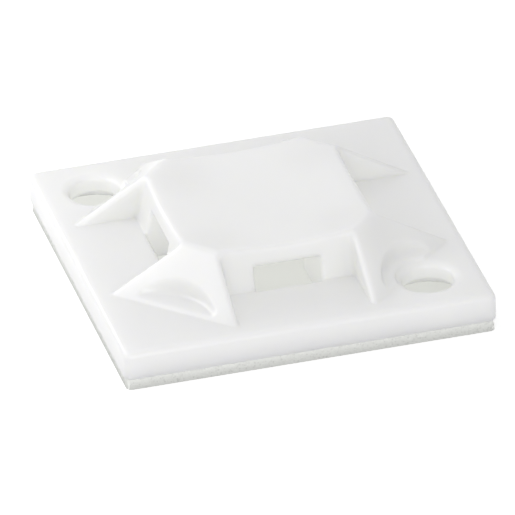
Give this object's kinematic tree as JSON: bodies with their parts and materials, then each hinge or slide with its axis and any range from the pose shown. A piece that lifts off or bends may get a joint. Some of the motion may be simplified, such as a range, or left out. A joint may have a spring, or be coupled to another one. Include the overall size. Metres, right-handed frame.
{
  "type": "cable tie mount",
  "caption": "Square adhesive cable tie mount with a dished saddle, tie slots on all sides, bracing lobes and countersunk screw holes, on a foam pad.",
  "frame": {"origin": "centre of the foam's sticky face, on the surface that the mount is stuck to", "axes": "+Z away from that surface, X and Y along the plate's sides, a screw hole towards -X +Y and one towards +X -Y"},
  "size_m": [0.028, 0.028, 0.0064],
  "materials": {
    "nylon": "natural nylon, milky and slightly translucent, satin",
    "foam": "white closed-cell foam tape, matt, with a cut edge"
  },
  "bodies": {
    "root": {"mount_body": "nylon", "foam_pad": "foam"}
  },
  "joints": []
}
